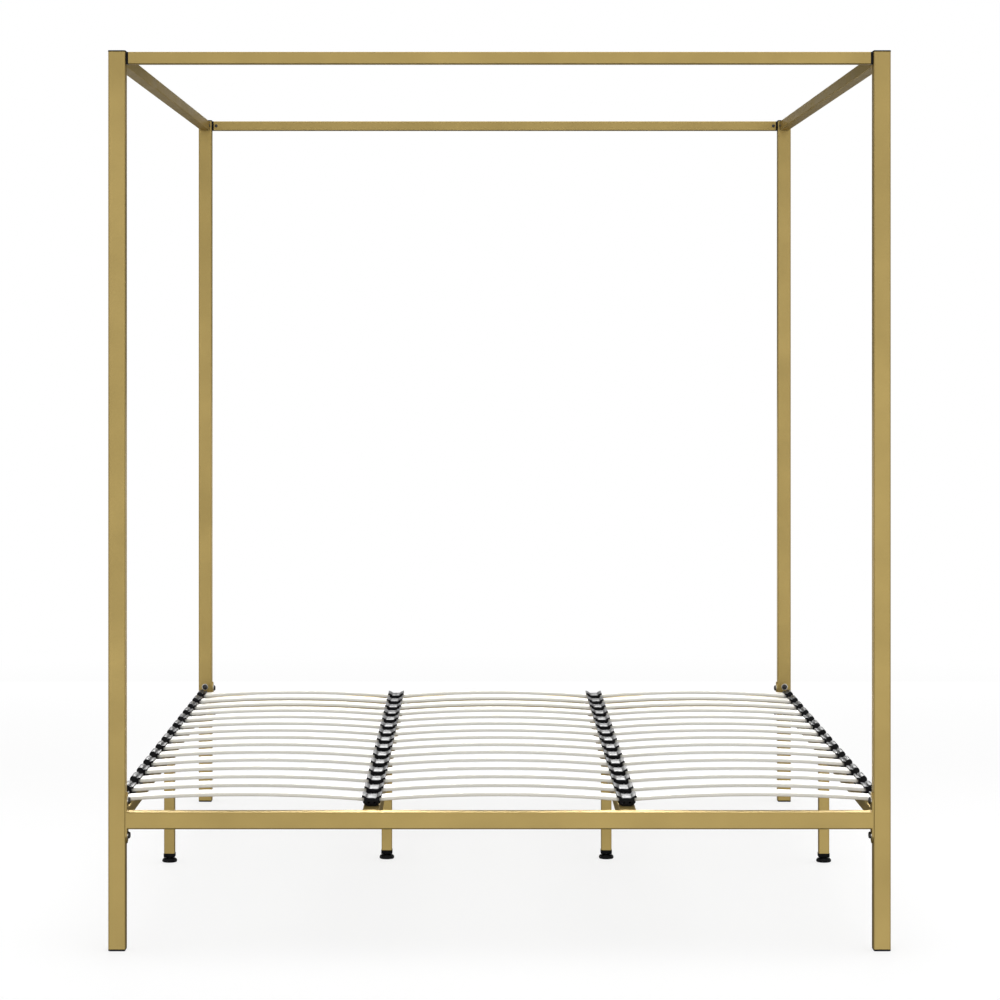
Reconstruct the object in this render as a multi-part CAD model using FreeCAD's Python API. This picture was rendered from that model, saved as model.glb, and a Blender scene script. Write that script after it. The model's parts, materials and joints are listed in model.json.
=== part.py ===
import FreeCAD, Part
import math
import os

# Four poster canopy bed with a bolted tube frame and three bays of sprung slats.
# Millimetres. X runs across the bed, Y from the foot end (-) to the head end (+), Z up.
# The origin is on the floor under the middle of the bed.

# ---- driving dimensions -------------------------------------------------------------
bed_width = 1605.0          # over the posts
bed_length = 2110.0         # over the posts
bed_height = 1848.0         # floor to the top of the post caps
post_size = 35.0            # square tube of the posts, the end rails and the centre rails
slim_size = 25.0            # square tube of the canopy, the side rails and the support legs
tube_wall = 1.2
post_corner = 3.0           # outer corner radius of the 35 mm tube
slim_corner = 2.4           # outer corner radius of the 25 mm tube
rail_top = 285.0            # top of the foot, head and centre rails
centre_rail_x = 265.0       # middle of each centre rail, either side of the bed's middle
slat_rows = 15
slat_pitch = 134.0
slat_width = 53.0
slat_thickness = 8.0
slat_crown = 10.5           # rise of a slat's middle over its ends
slat_end_z = 294.4          # underside of a slat at its very end

# ---- worked out from them -----------------------------------------------------------
post_x = (bed_width - post_size) / 2
post_y = (bed_length - post_size) / 2
face_x = post_x - post_size / 2          # inner faces of the posts
face_y = post_y - post_size / 2
rail_z = rail_top - post_size / 2        # height of the centre line of every lower rail
side_rail_top = rail_z + slim_size / 2
row_ys = [slat_pitch * (row - (slat_rows - 1) / 2) for row in range(slat_rows)]

# ---- posts, caps and glides ---------------------------------------------------------
cap_thickness = 3.0
cap_overhang = 0.6
cap_skirt = 6.0
glide_thickness = 4.0
glide_skirt = 15.0
cap_edge = 0.9              # round on the cap's upper edges
glide_edge = 1.0            # round on the glide's lower edges
plug_clearance = 0.1        # between a plastic plug and the tube that holds it
plug_wall = 2.2
plug_corner = 1.0           # corner radius of a solid plug
skirt_corner = 1.5          # corner radius of a hollow skirt, outside and inside
skirt_inner_corner = 0.8
overcut = 1.0               # how far a cutter runs past the face it cuts

# ---- bolted end plates --------------------------------------------------------------
plate_height = 105.0
plate_thickness = 3.0
plate_rise = 4.0            # the plates' middle above the rails' centre line
plate_width = {"x": 34.0, "y": 24.0}     # end rails' and side rails' plates, by their normal

# ---- M8 button-head bolts and their threaded inserts --------------------------------
bolt_radius = 4.0
bolt_head_radius = 7.2
bolt_head_height = 4.4
bolt_head_dome = 3.3        # round on the head's rim
bolt_reach = 10.0           # how far the shank goes into a post
hex_key_af = 5.0
hex_key_depth = 2.4
washer_radius = 8.4
washer_thickness = 1.6
hole_clearance = 0.25
thread_clearance = 0.05
insert_radius = 5.5
insert_length = 10.5

# ---- canopy joints ------------------------------------------------------------------
canopy_top = bed_height - cap_thickness
spacer_thickness = 5.5
connector_length = 40.0     # plug inside the canopy tube
m6_radius = 3.0
m6_head_radius = 5.0
m6_head_height = 6.0
m6_head_bore = 6.0          # radius of the bore that the bolt's head passes through
m6_insert_radius = 4.5
connector_floor = spacer_thickness + 3.0     # under the bolt's head
m6_reach = 9.0              # how far an M6 bolt goes into its insert
m6_insert_length = 9.5
locking_screw_reach = 12.0  # distance of the locking screw from the post's face
locking_screw_radius = 2.0
locking_screw_length = 5.5
locking_hole_gap = 0.15
locking_hole_past_tip = 0.5
locking_head_radius = 4.2
locking_head_height = 2.0
locking_head_dome = 1.2
cross_recess_arm = 2.3
cross_recess_half_width = 0.45
cross_recess_depth = 1.1

# ---- centre rail cradles and cross bolts --------------------------------------------
cradle_wall = 2.5
cradle_length = 45.0
cradle_height = 27.0
cradle_gap = 0.3            # either side of the centre rail
cradle_drop = 0.2           # below the centre rail
centre_rail_end_gap = 0.5   # between the centre rail and the line of the posts' faces
cross_bolt_from_face = 25.0
cross_drill_reach = 40.0    # half-length of the drill through rail and cradle
hex_head_af = 10.0
hex_head_height = 4.0
lock_nut_height = 6.0
thread_past_nut = 2.0

# ---- support legs and levelling feet ------------------------------------------------
side_leg_y = 48.0           # between the eighth and ninth slat rows
centre_leg_y = 98.0
leg_plate_length = 75.0
leg_plate_thickness = 3.0
leg_plate_corner = 4.0
leg_bolt_offset = 27.0
foot_radius = 18.0
foot_height = 11.0
foot_sole = 4.0             # plastic under the stem
foot_neck_radius = 8.5      # flat top around the stem
foot_gap = 1.5              # stem showing between the foot and the collar
collar_size = 27.0
collar_height = 9.0
leg_plug_depth = 25.0
stem_radius = 4.0
stem_length = 34.0

# ---- slat holders -------------------------------------------------------------------
holder_depth = 64.0         # along the rail
holder_peg_radius = 5.0
holder_peg_depth = 7.0
peg_clearance = 0.2
slat_clearance = 0.15
slat_gap_at_centre = 12.0   # from a centre rail's middle line to the slat's end
cheek_width = 4.0           # holder wall beside a slat's end; past it the slat's edge shows
cheek_reach = 20.0          # length of the opening past a cheek
shoulder_radius = 7.4       # round shoulder of a side holder
shoulder_x = -4.9
shoulder_rise = 23.2        # its middle above the rail
slat_length = 2 * (centre_rail_x - slat_gap_at_centre)
slat_corner = 9.0           # corner radius at the slat's ends, seen from above

up = FreeCAD.Vector(0, 0, 1)


def vector(x, y, z):
    return FreeCAD.Vector(x, y, z)


def box(low, high):
    """A box between two opposite corners."""
    size = [b - a for a, b in zip(low, high)]
    return Part.makeBox(size[0], size[1], size[2], vector(*low))


def cylinder(radius, start, end):
    """A round bar from one point to another."""
    run = vector(*end) - vector(*start)
    return Part.makeCylinder(radius, run.Length, vector(*start), run)


def rounded_rectangle(width, depth, radius):
    """A closed wire in the XY plane, centred on the origin, with round corners."""
    a, b = width / 2, depth / 2
    edges = []
    corners = [(a - radius, b - radius, 0), (radius - a, b - radius, 90),
               (radius - a, radius - b, 180), (a - radius, radius - b, 270)]
    points = []
    for x, y, start in corners:
        arc = []
        for angle in (start, start + 45, start + 90):
            turn = math.radians(angle)
            arc.append(vector(x + radius * math.cos(turn), y + radius * math.sin(turn), 0))
        points.append(arc)
    for index, arc in enumerate(points):
        edges.append(Part.Arc(*arc).toShape())
        edges.append(Part.LineSegment(arc[2], points[(index + 1) % 4][0]).toShape())
    return Part.Wire(edges)


def prism(width, depth, radius, length):
    """An upright bar of rounded rectangular section standing on the XY plane."""
    return Part.Face(rounded_rectangle(width, depth, radius)).extrude(up * length)


def tube(size, radius, length):
    """An upright hollow square tube standing on the XY plane."""
    outer = prism(size, size, radius, length)
    inside = size - 2 * tube_wall
    return outer.cut(prism(inside, inside, radius - tube_wall, length))


def along(shape, axis, start):
    """Lays an upright shape along X or Y and moves its foot to start."""
    if axis == "x":
        shape.rotate(vector(0, 0, 0), vector(0, 1, 0), 90)
    elif axis == "y":
        shape.rotate(vector(0, 0, 0), vector(1, 0, 0), -90)
    shape.translate(vector(*start))
    return shape


def extrude_profile(points, depth):
    """A closed outline of (x, z) points, extruded along Y and centred on it."""
    corners = [vector(x, -depth / 2, z) for x, z in points]
    wire = Part.makePolygon(corners + corners[:1])
    return Part.Face(wire).extrude(vector(0, depth, 0))


def moved(shape, x, y, z, turn=0.0):
    """A copy turned about the upright axis, then moved."""
    copy = shape.copy()
    if turn:
        copy.rotate(vector(0, 0, 0), up, turn)
    copy.translate(vector(x, y, z))
    return copy


def hexagon_bar(across_flats, length):
    """An upright hexagonal bar standing on the XY plane."""
    radius = across_flats / math.sqrt(3)
    corners = [vector(radius * math.cos(math.radians(60 * i)),
                      radius * math.sin(math.radians(60 * i)), 0) for i in range(7)]
    return Part.Face(Part.makePolygon(corners)).extrude(up * length)


def export(node, shapes):
    """Writes one node from one solid or from several separate ones."""
    if not isinstance(shapes, list):
        shapes = [shapes]
    shape = shapes[0] if len(shapes) == 1 else Part.makeCompound(shapes)
    shape.exportStep("parts/" + node + ".step")


def ends():
    """Each post: its name, the signs of its X and its Y."""
    return [("foot_left", -1, -1), ("foot_right", 1, -1),
            ("head_left", -1, 1), ("head_right", 1, 1)]


def plate_bolt_offset(axis):
    """Height of a plate's bolts from its middle: they sit at the centres of its round ends."""
    return (plate_height - plate_width[axis]) / 2


def plate_bolt_heights(axis):
    middle = rail_z + plate_rise
    return [middle - plate_bolt_offset(axis), middle + plate_bolt_offset(axis)]


def canopy_z():
    return canopy_top - slim_size / 2


# ---- posts ---------------------------------------------------------------------------

def make_post(sx, sy):
    """Hollow post with holes for the threaded inserts in its two inner faces."""
    height = bed_height - cap_thickness - glide_thickness
    post = tube(post_size, post_corner, height)
    post.translate(vector(sx * post_x, sy * post_y, glide_thickness))
    for axis in ("x", "y"):
        drills = [(insert_radius, z) for z in plate_bolt_heights(axis)]
        drills.append((m6_insert_radius, canopy_z()))
        for radius, z in drills:
            inward = (sx * (face_x - overcut), sy * post_y, z)
            if axis == "y":
                inward = (sx * post_x, sy * (face_y - overcut), z)
            post = post.cut(cylinder(radius, (sx * post_x, sy * post_y, z), inward))
    return post


def edges_at(shape, z):
    """The edges of a shape that lie in the level plane at z."""
    return [edge for edge in shape.Edges
            if abs(edge.BoundBox.ZMin - z) < 0.01 and abs(edge.BoundBox.ZMax - z) < 0.01]


def plug_size(tube_size):
    """Width of a plastic plug that slides into a square tube."""
    return tube_size - 2 * tube_wall - 2 * plug_clearance


def hollow_skirt(length, start):
    """Hollow square sleeve that plugs into a post, from start upwards."""
    outer = plug_size(post_size)
    inner = outer - 2 * plug_wall
    skirt = prism(outer, outer, skirt_corner, length)
    skirt = skirt.cut(prism(inner, inner, skirt_inner_corner, length))
    return moved(skirt, 0, 0, start)


def make_post_cap(sx, sy):
    """Thin square cap with a hollow skirt that plugs into the top of the post."""
    width = post_size + 2 * cap_overhang
    plate = prism(width, width, post_corner, cap_thickness)
    plate = plate.makeFillet(cap_edge, edges_at(plate, cap_thickness))
    cap = plate.fuse(hollow_skirt(cap_skirt, -cap_skirt))
    return moved(cap, sx * post_x, sy * post_y, bed_height - cap_thickness)


def make_post_glide(sx, sy):
    """Plastic glide under the post, with a hollow skirt inside the tube."""
    plate = prism(post_size, post_size, post_corner, glide_thickness)
    plate = plate.makeFillet(glide_edge, edges_at(plate, 0))
    glide = plate.fuse(hollow_skirt(glide_skirt, glide_thickness))
    return moved(glide, sx * post_x, sy * post_y, 0)


# ---- lower rails ---------------------------------------------------------------------

def round_ended_plate(axis, start):
    """Upright plate with half-round ends and two bolt holes, its normal along axis."""
    width = plate_width[axis]
    plate = prism(width, plate_height, width / 2 - 0.01, plate_thickness)
    for offset in (-plate_bolt_offset(axis), plate_bolt_offset(axis)):
        plate = plate.cut(cylinder(bolt_radius + hole_clearance, (0, offset, -overcut),
                                   (0, offset, plate_thickness + overcut)))
    if axis == "x":
        plate.rotate(vector(0, 0, 0), up, 90)
    return along(plate, axis, start)


def make_end_rail(sy):
    """Foot or head rail: tube, a bolting plate at each end and two cradles."""
    length = 2 * (face_x - plate_thickness)
    rail = along(tube(post_size, post_corner, length), "x", (-length / 2, sy * post_y, rail_z))
    for start in (-face_x, face_x - plate_thickness):
        rail = rail.fuse(round_ended_plate("x", (start, sy * post_y, rail_z + plate_rise)))
    for x in (-centre_rail_x, centre_rail_x):
        rail = rail.fuse(make_cradle(x, sy))
    return rail


def make_cradle(x, sy):
    """U-shaped bracket that holds a centre rail's end, welded by its sides to an end rail."""
    half = post_size / 2 + cradle_gap
    floor = rail_top - post_size - cradle_drop
    near, far = sy * (face_y - cradle_length), sy * face_y
    low_y, high_y = min(near, far), max(near, far)
    outer = box((x - half - cradle_wall, low_y, floor - cradle_wall),
                (x + half + cradle_wall, high_y, floor + cradle_height))
    inner = box((x - half, low_y - overcut, floor),
                (x + half, high_y + overcut, floor + cradle_height + overcut))
    return outer.cut(inner).cut(cross_drill(x, sy))


def cross_drill(x, sy):
    """Cutter for the cross bolt through a centre rail's end and its cradle."""
    y = sy * (face_y - cross_bolt_from_face)
    return cylinder(m6_radius + hole_clearance, (x - cross_drill_reach, y, rail_z),
                    (x + cross_drill_reach, y, rail_z))


def peg_holes(x, top):
    """Cutters for the holder pegs in a rail's top wall."""
    reach = tube_wall + overcut
    return [cylinder(holder_peg_radius + peg_clearance, (x, y, top - reach), (x, y, top + overcut))
            for y in row_ys]


def leg_bolt_holes(x, y, bottom):
    """Cutters for the two threaded inserts in a rail's bottom wall."""
    return [cylinder(m6_insert_radius, (x, y + offset, bottom - overcut),
                     (x, y + offset, bottom + tube_wall + overcut))
            for offset in (-leg_bolt_offset, leg_bolt_offset)]


def make_side_rail(sx):
    """Slim side rail with a bolting plate at each end and holes for the holder pegs."""
    length = 2 * (face_y - plate_thickness)
    x = sx * post_x
    rail = along(tube(slim_size, slim_corner, length), "y", (x, -length / 2, rail_z))
    rail = rail.cut(peg_holes(x, side_rail_top))
    rail = rail.cut(leg_bolt_holes(x, side_leg_y, side_rail_top - slim_size))
    for start in (-face_y, face_y - plate_thickness):
        rail = rail.fuse(round_ended_plate("y", (x, start, rail_z + plate_rise)))
    return rail


def make_centre_rail(sx):
    """Centre rail that lies in the cradles of the foot and head rails."""
    length = 2 * (face_y - centre_rail_end_gap)
    x = sx * centre_rail_x
    rail = along(tube(post_size, post_corner, length), "y", (x, -length / 2, rail_z))
    rail = rail.cut(peg_holes(x, rail_top))
    rail = rail.cut(leg_bolt_holes(x, centre_leg_y, rail_top - post_size))
    for sy in (-1, 1):
        rail = rail.cut(cross_drill(x, sy))
    return rail


# ---- bolts, washers and threaded inserts of the lower frame ----------------------------

def button_bolt():
    """M8 button-head bolt along +Z with the underside of its head at zero."""
    head = Part.makeCylinder(bolt_head_radius, bolt_head_height, vector(0, 0, -bolt_head_height))
    head = head.makeFillet(bolt_head_dome, edges_at(head, -bolt_head_height))
    recess = hexagon_bar(hex_key_af, hex_key_depth)
    recess.translate(vector(0, 0, -bolt_head_height))
    reach = washer_thickness + plate_thickness + bolt_reach
    return head.cut(recess).fuse(Part.makeCylinder(bolt_radius, reach))


def washer():
    """Flat washer on the plate, from zero along +Z."""
    ring = Part.makeCylinder(washer_radius, washer_thickness)
    return ring.cut(Part.makeCylinder(bolt_radius + hole_clearance, washer_thickness))


def threaded_insert(outer, inner, length):
    """Threaded insert along +Z, flush with the face at zero."""
    return Part.makeCylinder(outer, length).cut(Part.makeCylinder(inner + thread_clearance, length))


def aim(shape, place, direction):
    """A copy with its local +Z turned to a direction and its origin moved to a place."""
    copy = shape.copy()
    turn = FreeCAD.Placement(place, FreeCAD.Rotation(up, direction))
    copy.Placement = turn.multiply(copy.Placement)
    return copy


def post_joints(axis, z):
    """Where a tube meets each post at one height: the point on the post's inner face, the
    direction into the post and the direction from the tube's line towards the bed's middle."""
    joints = []
    for _, sx, sy in ends():
        if axis == "x":
            joints.append((vector(sx * face_x, sy * post_y, z), vector(sx, 0, 0), vector(0, -sy, 0)))
        else:
            joints.append((vector(sx * post_x, sy * face_y, z), vector(0, sy, 0), vector(-sx, 0, 0)))
    return joints


def frame_fasteners(axis):
    """Bolts, washers and inserts of all the plates whose normal is axis."""
    bolts, washers, inserts = [], [], []
    stack = plate_thickness + washer_thickness
    sleeve = threaded_insert(insert_radius, bolt_radius, insert_length)
    for z in plate_bolt_heights(axis):
        for place, into, _ in post_joints(axis, z):
            outside = place - into * stack
            bolts.append(aim(button_bolt(), outside, into))
            washers.append(aim(washer(), outside, into))
            inserts.append(aim(sleeve, place, into))
    return bolts, washers, inserts


# ---- canopy --------------------------------------------------------------------------

def locking_points(axis):
    """The locking screws of the tubes along axis: a point on the tube's inner face and the
    direction into the tube."""
    points = []
    for place, into, inward in post_joints(axis, canopy_z()):
        points.append((place - into * locking_screw_reach + inward * (slim_size / 2), inward * -1))
    return points


def make_canopy_rail(axis, offset):
    """Canopy tube along axis, its line at an offset from the bed's middle, drilled at its ends."""
    span = face_x if axis == "x" else face_y
    half = span - spacer_thickness
    start = (-half, offset, canopy_z()) if axis == "x" else (offset, -half, canopy_z())
    rail = along(tube(slim_size, slim_corner, 2 * half), axis, start)
    drill = Part.makeCylinder(locking_screw_radius + locking_hole_gap,
                              2 * tube_wall + overcut, vector(0, 0, -overcut))
    for point, into in locking_points(axis):
        rail = rail.cut(aim(drill, point, into))
    return rail


def make_canopy_connectors(axis):
    """Plugs with a flange: the flange is the spacer between a post and its canopy tube."""
    width = plug_size(slim_size)
    body = prism(slim_size, slim_size, slim_corner, spacer_thickness)
    body = body.fuse(prism(width, width, plug_corner, connector_length + spacer_thickness))
    body = body.cut(Part.makeCylinder(m6_radius + hole_clearance, connector_floor))
    body = body.cut(Part.makeCylinder(m6_head_bore, connector_length,
                                      vector(0, 0, connector_floor)))
    drill = Part.makeCylinder(locking_screw_radius + thread_clearance,
                              locking_screw_length + locking_hole_past_tip)
    connectors = []
    for joint, lock in zip(post_joints(axis, canopy_z()), locking_points(axis)):
        connector = aim(body, joint[0], joint[1] * -1)
        connectors.append(connector.cut(aim(drill, lock[0], lock[1])))
    return connectors


def canopy_bolt():
    """M6 cap bolt along +Z, the underside of its head at zero."""
    shank = Part.makeCylinder(m6_radius, connector_floor + m6_reach)
    head = Part.makeCylinder(m6_head_radius, m6_head_height, vector(0, 0, -m6_head_height))
    recess = hexagon_bar(hex_key_af, m6_head_height / 2)
    recess.translate(vector(0, 0, -m6_head_height))
    return shank.fuse(head).cut(recess)


def locking_screw():
    """Short pan-head screw with a cross recess, along +Z, the underside of its head at zero."""
    head = Part.makeCylinder(locking_head_radius, locking_head_height,
                             vector(0, 0, -locking_head_height))
    head = head.makeFillet(locking_head_dome, edges_at(head, -locking_head_height))
    screw = head.fuse(Part.makeCylinder(locking_screw_radius, locking_screw_length))
    arm, half = cross_recess_arm, cross_recess_half_width
    for reach_x, reach_y in ((arm, half), (half, arm)):
        screw = screw.cut(box((-reach_x, -reach_y, -locking_head_height - overcut),
                              (reach_x, reach_y, cross_recess_depth - locking_head_height)))
    return screw


def canopy_fittings():
    """Connectors, bolts, inserts and locking screws of the eight canopy joints."""
    connectors, bolts, inserts, screws = [], [], [], []
    sleeve = threaded_insert(m6_insert_radius, m6_radius, m6_insert_length)
    for axis in ("x", "y"):
        connectors += make_canopy_connectors(axis)
        for place, into, _ in post_joints(axis, canopy_z()):
            bolts.append(aim(canopy_bolt(), place - into * connector_floor, into))
            inserts.append(aim(sleeve, place, into))
        screws += [aim(locking_screw(), point, into) for point, into in locking_points(axis)]
    return connectors, bolts, inserts, screws


# ---- centre rail fasteners -----------------------------------------------------------

def centre_rail_fasteners():
    """A cross bolt and a lock nut at each end of each centre rail."""
    bolts, nuts = [], []
    reach = post_size / 2 + cradle_gap + cradle_wall
    for sx in (-1, 1):
        for sy in (-1, 1):
            y = sy * (face_y - cross_bolt_from_face)
            length = 2 * reach + lock_nut_height + thread_past_nut
            bolt = Part.makeCylinder(m6_radius, length, vector(0, 0, -reach))
            head = hexagon_bar(hex_head_af, hex_head_height)
            head.translate(vector(0, 0, -reach - hex_head_height))
            nut = hexagon_bar(hex_head_af, lock_nut_height)
            nut = nut.cut(Part.makeCylinder(m6_radius + thread_clearance, lock_nut_height))
            nut.translate(vector(0, 0, reach))
            bolts.append(along(bolt.fuse(head), "x", (sx * centre_rail_x, y, rail_z)))
            nuts.append(along(nut, "x", (sx * centre_rail_x, y, rail_z)))
    return bolts, nuts


# ---- support legs and levelling feet ---------------------------------------------------

def legs():
    """Each support leg: name, X, Y, underside of its rail, width of its rail."""
    side_bottom = side_rail_top - slim_size
    centre_bottom = rail_top - post_size
    return [("left_side", -post_x, side_leg_y, side_bottom, slim_size),
            ("left_centre", -centre_rail_x, centre_leg_y, centre_bottom, post_size),
            ("right_centre", centre_rail_x, centre_leg_y, centre_bottom, post_size),
            ("right_side", post_x, side_leg_y, side_bottom, slim_size)]


def leg_bottom():
    return foot_height + foot_gap + collar_height


def make_leg(x, y, rail_bottom, rail_width):
    """Slim tube with a bolting plate welded on top."""
    height = rail_bottom - leg_plate_thickness - leg_bottom()
    leg = moved(tube(slim_size, slim_corner, height), x, y, leg_bottom())
    plate = prism(rail_width, leg_plate_length, leg_plate_corner, leg_plate_thickness)
    for offset in (-leg_bolt_offset, leg_bolt_offset):
        plate = plate.cut(cylinder(m6_radius + hole_clearance, (0, offset, -overcut),
                                   (0, offset, leg_plate_thickness + overcut)))
    plate = moved(plate, x, y, rail_bottom - leg_plate_thickness)
    return leg.fuse(plate)


def make_leg_plug(x, y):
    """Plastic plug in the leg's lower end, with a collar and a thread for the foot's stem."""
    width = plug_size(slim_size)
    collar = prism(collar_size, collar_size, slim_corner, collar_height)
    plug = prism(width, width, plug_corner, leg_plug_depth)
    plug.translate(vector(0, 0, collar_height))
    bore = Part.makeCylinder(stem_radius + thread_clearance, collar_height + leg_plug_depth)
    return moved(collar.fuse(plug).cut(bore), x, y, foot_height + foot_gap)


def make_foot_pad(x, y):
    """Bulbous round foot with a flat sole and a pocket for the stem."""
    low_arc = [(foot_radius - 2.5, 0), (foot_radius - 0.4, 1.4), (foot_radius, 3.6)]
    high_arc = [(foot_radius, 3.6), (foot_radius - 1.2, 7.6), (foot_radius - 4.6, 9.6)]
    edges = [Part.Arc(*[vector(r, 0, z) for r, z in arc]).toShape() for arc in (low_arc, high_arc)]
    corners = [high_arc[-1], (foot_neck_radius, foot_height), (stem_radius, foot_height),
               (stem_radius, foot_sole), (0, foot_sole), (0, 0), low_arc[0]]
    for (r0, z0), (r1, z1) in zip(corners, corners[1:]):
        edges.append(Part.LineSegment(vector(r0, 0, z0), vector(r1, 0, z1)).toShape())
    pad = Part.Face(Part.Wire(edges)).revolve(vector(0, 0, 0), up, 360)
    return moved(pad, x, y, 0)


def make_foot_stem(x, y):
    """Steel stem moulded into the foot."""
    return cylinder(stem_radius, (x, y, foot_sole), (x, y, foot_sole + stem_length))


def leg_fasteners():
    """Bolts and threaded inserts that hold the legs' plates to the rails."""
    bolts, inserts = [], []
    for _, x, y, rail_bottom, _ in legs():
        for offset in (-leg_bolt_offset, leg_bolt_offset):
            under = rail_bottom - leg_plate_thickness
            shank = cylinder(m6_radius, (0, 0, under), (0, 0, rail_bottom + m6_reach))
            head = hexagon_bar(hex_head_af, hex_head_height)
            head.translate(vector(0, 0, under - hex_head_height))
            bolts.append(moved(shank.fuse(head), x, y + offset, 0))
            sleeve = threaded_insert(m6_insert_radius, m6_radius, m6_insert_length)
            inserts.append(moved(sleeve, x, y + offset, rail_bottom))
    return bolts, inserts


# ---- slats ---------------------------------------------------------------------------

def slat_arc(x0, z0, length, crown):
    """Three points of an arc that starts at (x0, z0) and rises by crown in its middle."""
    return (vector(x0, 0, z0), vector(x0 + length / 2, 0, z0 + crown), vector(x0 + length, 0, z0))


def make_slat(width, thickness, length, corner):
    """Bowed slat along X, centred on Y, with its lower ends at zero height at x = 0 and length."""
    bottom = slat_arc(0, 0, length, slat_crown)
    top = slat_arc(0, thickness, length, slat_crown)
    edges = [Part.Arc(*bottom).toShape(), Part.LineSegment(bottom[2], top[2]).toShape(),
             Part.Arc(*top).toShape(), Part.LineSegment(top[0], bottom[0]).toShape()]
    slat = Part.Face(Part.Wire(Part.__sortEdges__(edges))).extrude(vector(0, width, 0))
    slat.translate(vector(0, -width / 2, 0))
    if corner:
        uprights = [edge for edge in slat.Edges if edge.BoundBox.ZLength > thickness - 0.1
                    and edge.BoundBox.XLength < 0.1 and edge.BoundBox.YLength < 0.1]
        slat = slat.makeFillet(corner, uprights)
    return slat


def bays():
    """Each bay of slats: name and the X of its slats' left ends."""
    return [("left", -centre_rail_x - slat_gap_at_centre - slat_length),
            ("centre", -centre_rail_x + slat_gap_at_centre),
            ("right", centre_rail_x + slat_gap_at_centre)]


# ---- slat holders --------------------------------------------------------------------

def slat_cutter(x0):
    """The space of one slat and its clearance, its left end at x0."""
    grown = make_slat(slat_width + 4 * slat_clearance, slat_thickness + 2 * slat_clearance,
                      slat_length + 2 * slat_clearance, 0)
    grown.translate(vector(x0 - slat_clearance, 0, slat_end_z - slat_clearance))
    return grown


def cheek_cutter(slat_end, side):
    """The opening through a holder, past its cheeks, in which a slat's long edges show.

    slat_end is the slat's end and side the direction in which the slat runs from there."""
    rise = 4 * slat_crown * cheek_reach / slat_length
    low, high = slat_end_z - slat_clearance, slat_end_z + slat_thickness + slat_clearance
    near, far = slat_end + side * cheek_width, slat_end + side * (cheek_width + cheek_reach)
    outline = [(near, low), (far, low + rise), (far, high + rise), (near, high)]
    return extrude_profile(outline, holder_depth + 2 * overcut)


def with_peg(holder, base):
    """Adds the round peg that goes into the rail under a holder's base."""
    return holder.fuse(cylinder(holder_peg_radius, (0, 0, base - holder_peg_depth),
                                (0, 0, base + overcut)))


def make_centre_holder():
    """Double holder on a centre rail at the middle of the bed's length, rail's X as zero.

    Its outline is a low base, a waist, and two pairs of pointed lips that open outwards,
    with a dish between the upper ones. Two channels core the base out.
    """
    half = [(8.0, 0), (14.0, 3.0), (18.4, 8.2), (18.4, 9.8), (20.6, 18.4), (20.6, 21.6),
            (19.6, 22.6), (12.4, 19.4), (9.4, 16.8)]
    outline = half + [(-x, z) for x, z in reversed(half)]
    holder = extrude_profile([(x, z + rail_top) for x, z in outline], holder_depth)
    holder = with_peg(holder, rail_top)
    for side in (-1, 1):
        start = slat_gap_at_centre if side > 0 else -slat_gap_at_centre - slat_length
        holder = holder.cut(slat_cutter(start))
        holder = holder.cut(cheek_cutter(side * slat_gap_at_centre, side))
        channel = [(side * 4.3, 5.6), (side * 8.3, 5.6), (side * 8.3, 9.4), (side * 4.3, 9.4)]
        holder = holder.cut(extrude_profile([(x, z + rail_top) for x, z in channel],
                                            holder_depth + 2 * overcut))
    return holder


def make_side_holder():
    """Single holder on the left side rail at the middle of the bed's length, rail's X as zero.

    It has a raised round shoulder on the outer side and one pocket that opens inwards.
    """
    base = side_rail_top
    slat_start = -(centre_rail_x + slat_gap_at_centre + slat_length) + post_x
    outline = [(-8.5, 0), (8.5, 0), (9.0, 6.0), (12.0, 13.0), (12.0, 14.8), (10.0, 23.6),
               (9.6, 26.4), (6.5, 26.6), (2.5, 25.6), (shoulder_x, shoulder_rise),
               (shoulder_x - shoulder_radius, shoulder_rise), (-12.0, 19.0), (-9.5, 12.0)]
    holder = extrude_profile([(x, z + base) for x, z in outline], holder_depth)
    shoulder = cylinder(shoulder_radius, (shoulder_x, -holder_depth / 2, base + shoulder_rise),
                        (shoulder_x, holder_depth / 2, base + shoulder_rise))
    holder = holder.fuse(shoulder).removeSplitter()
    holder = with_peg(holder, base)
    holder = holder.cut(slat_cutter(slat_start))
    holder = holder.cut(cheek_cutter(slat_start, 1))
    channel = [(-5.0, 3.0), (4.0, 3.0), (4.0, 10.5), (-5.0, 10.5)]
    return holder.cut(extrude_profile([(x, z + base) for x, z in channel],
                                      holder_depth + 2 * overcut))


def in_rows(shape, x, turn=0.0):
    """One copy of a shape at every slat row."""
    return [moved(shape, x, y, 0, turn) for y in row_ys]


# ---- build ---------------------------------------------------------------------------

os.makedirs("parts", exist_ok=True)

for name, sign_x, sign_y in ends():
    export(name + "_post", make_post(sign_x, sign_y))
    export(name + "_post_cap", make_post_cap(sign_x, sign_y))
    export(name + "_post_glide", make_post_glide(sign_x, sign_y))

export("foot_rail", make_end_rail(-1))
export("head_rail", make_end_rail(1))
export("foot_canopy_rail", make_canopy_rail("x", -post_y))
export("head_canopy_rail", make_canopy_rail("x", post_y))
for name, sign in (("left", -1), ("right", 1)):
    export(name + "_side_rail", make_side_rail(sign))
    export(name + "_centre_rail", make_centre_rail(sign))
    export(name + "_canopy_rail", make_canopy_rail("y", sign * post_x))

for name, normal in (("end_rail", "x"), ("side_rail", "y")):
    bolt_group, washer_group, insert_group = frame_fasteners(normal)
    export(name + "_bolts", bolt_group)
    export(name + "_washers", washer_group)
    export(name + "_threaded_inserts", insert_group)

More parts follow.
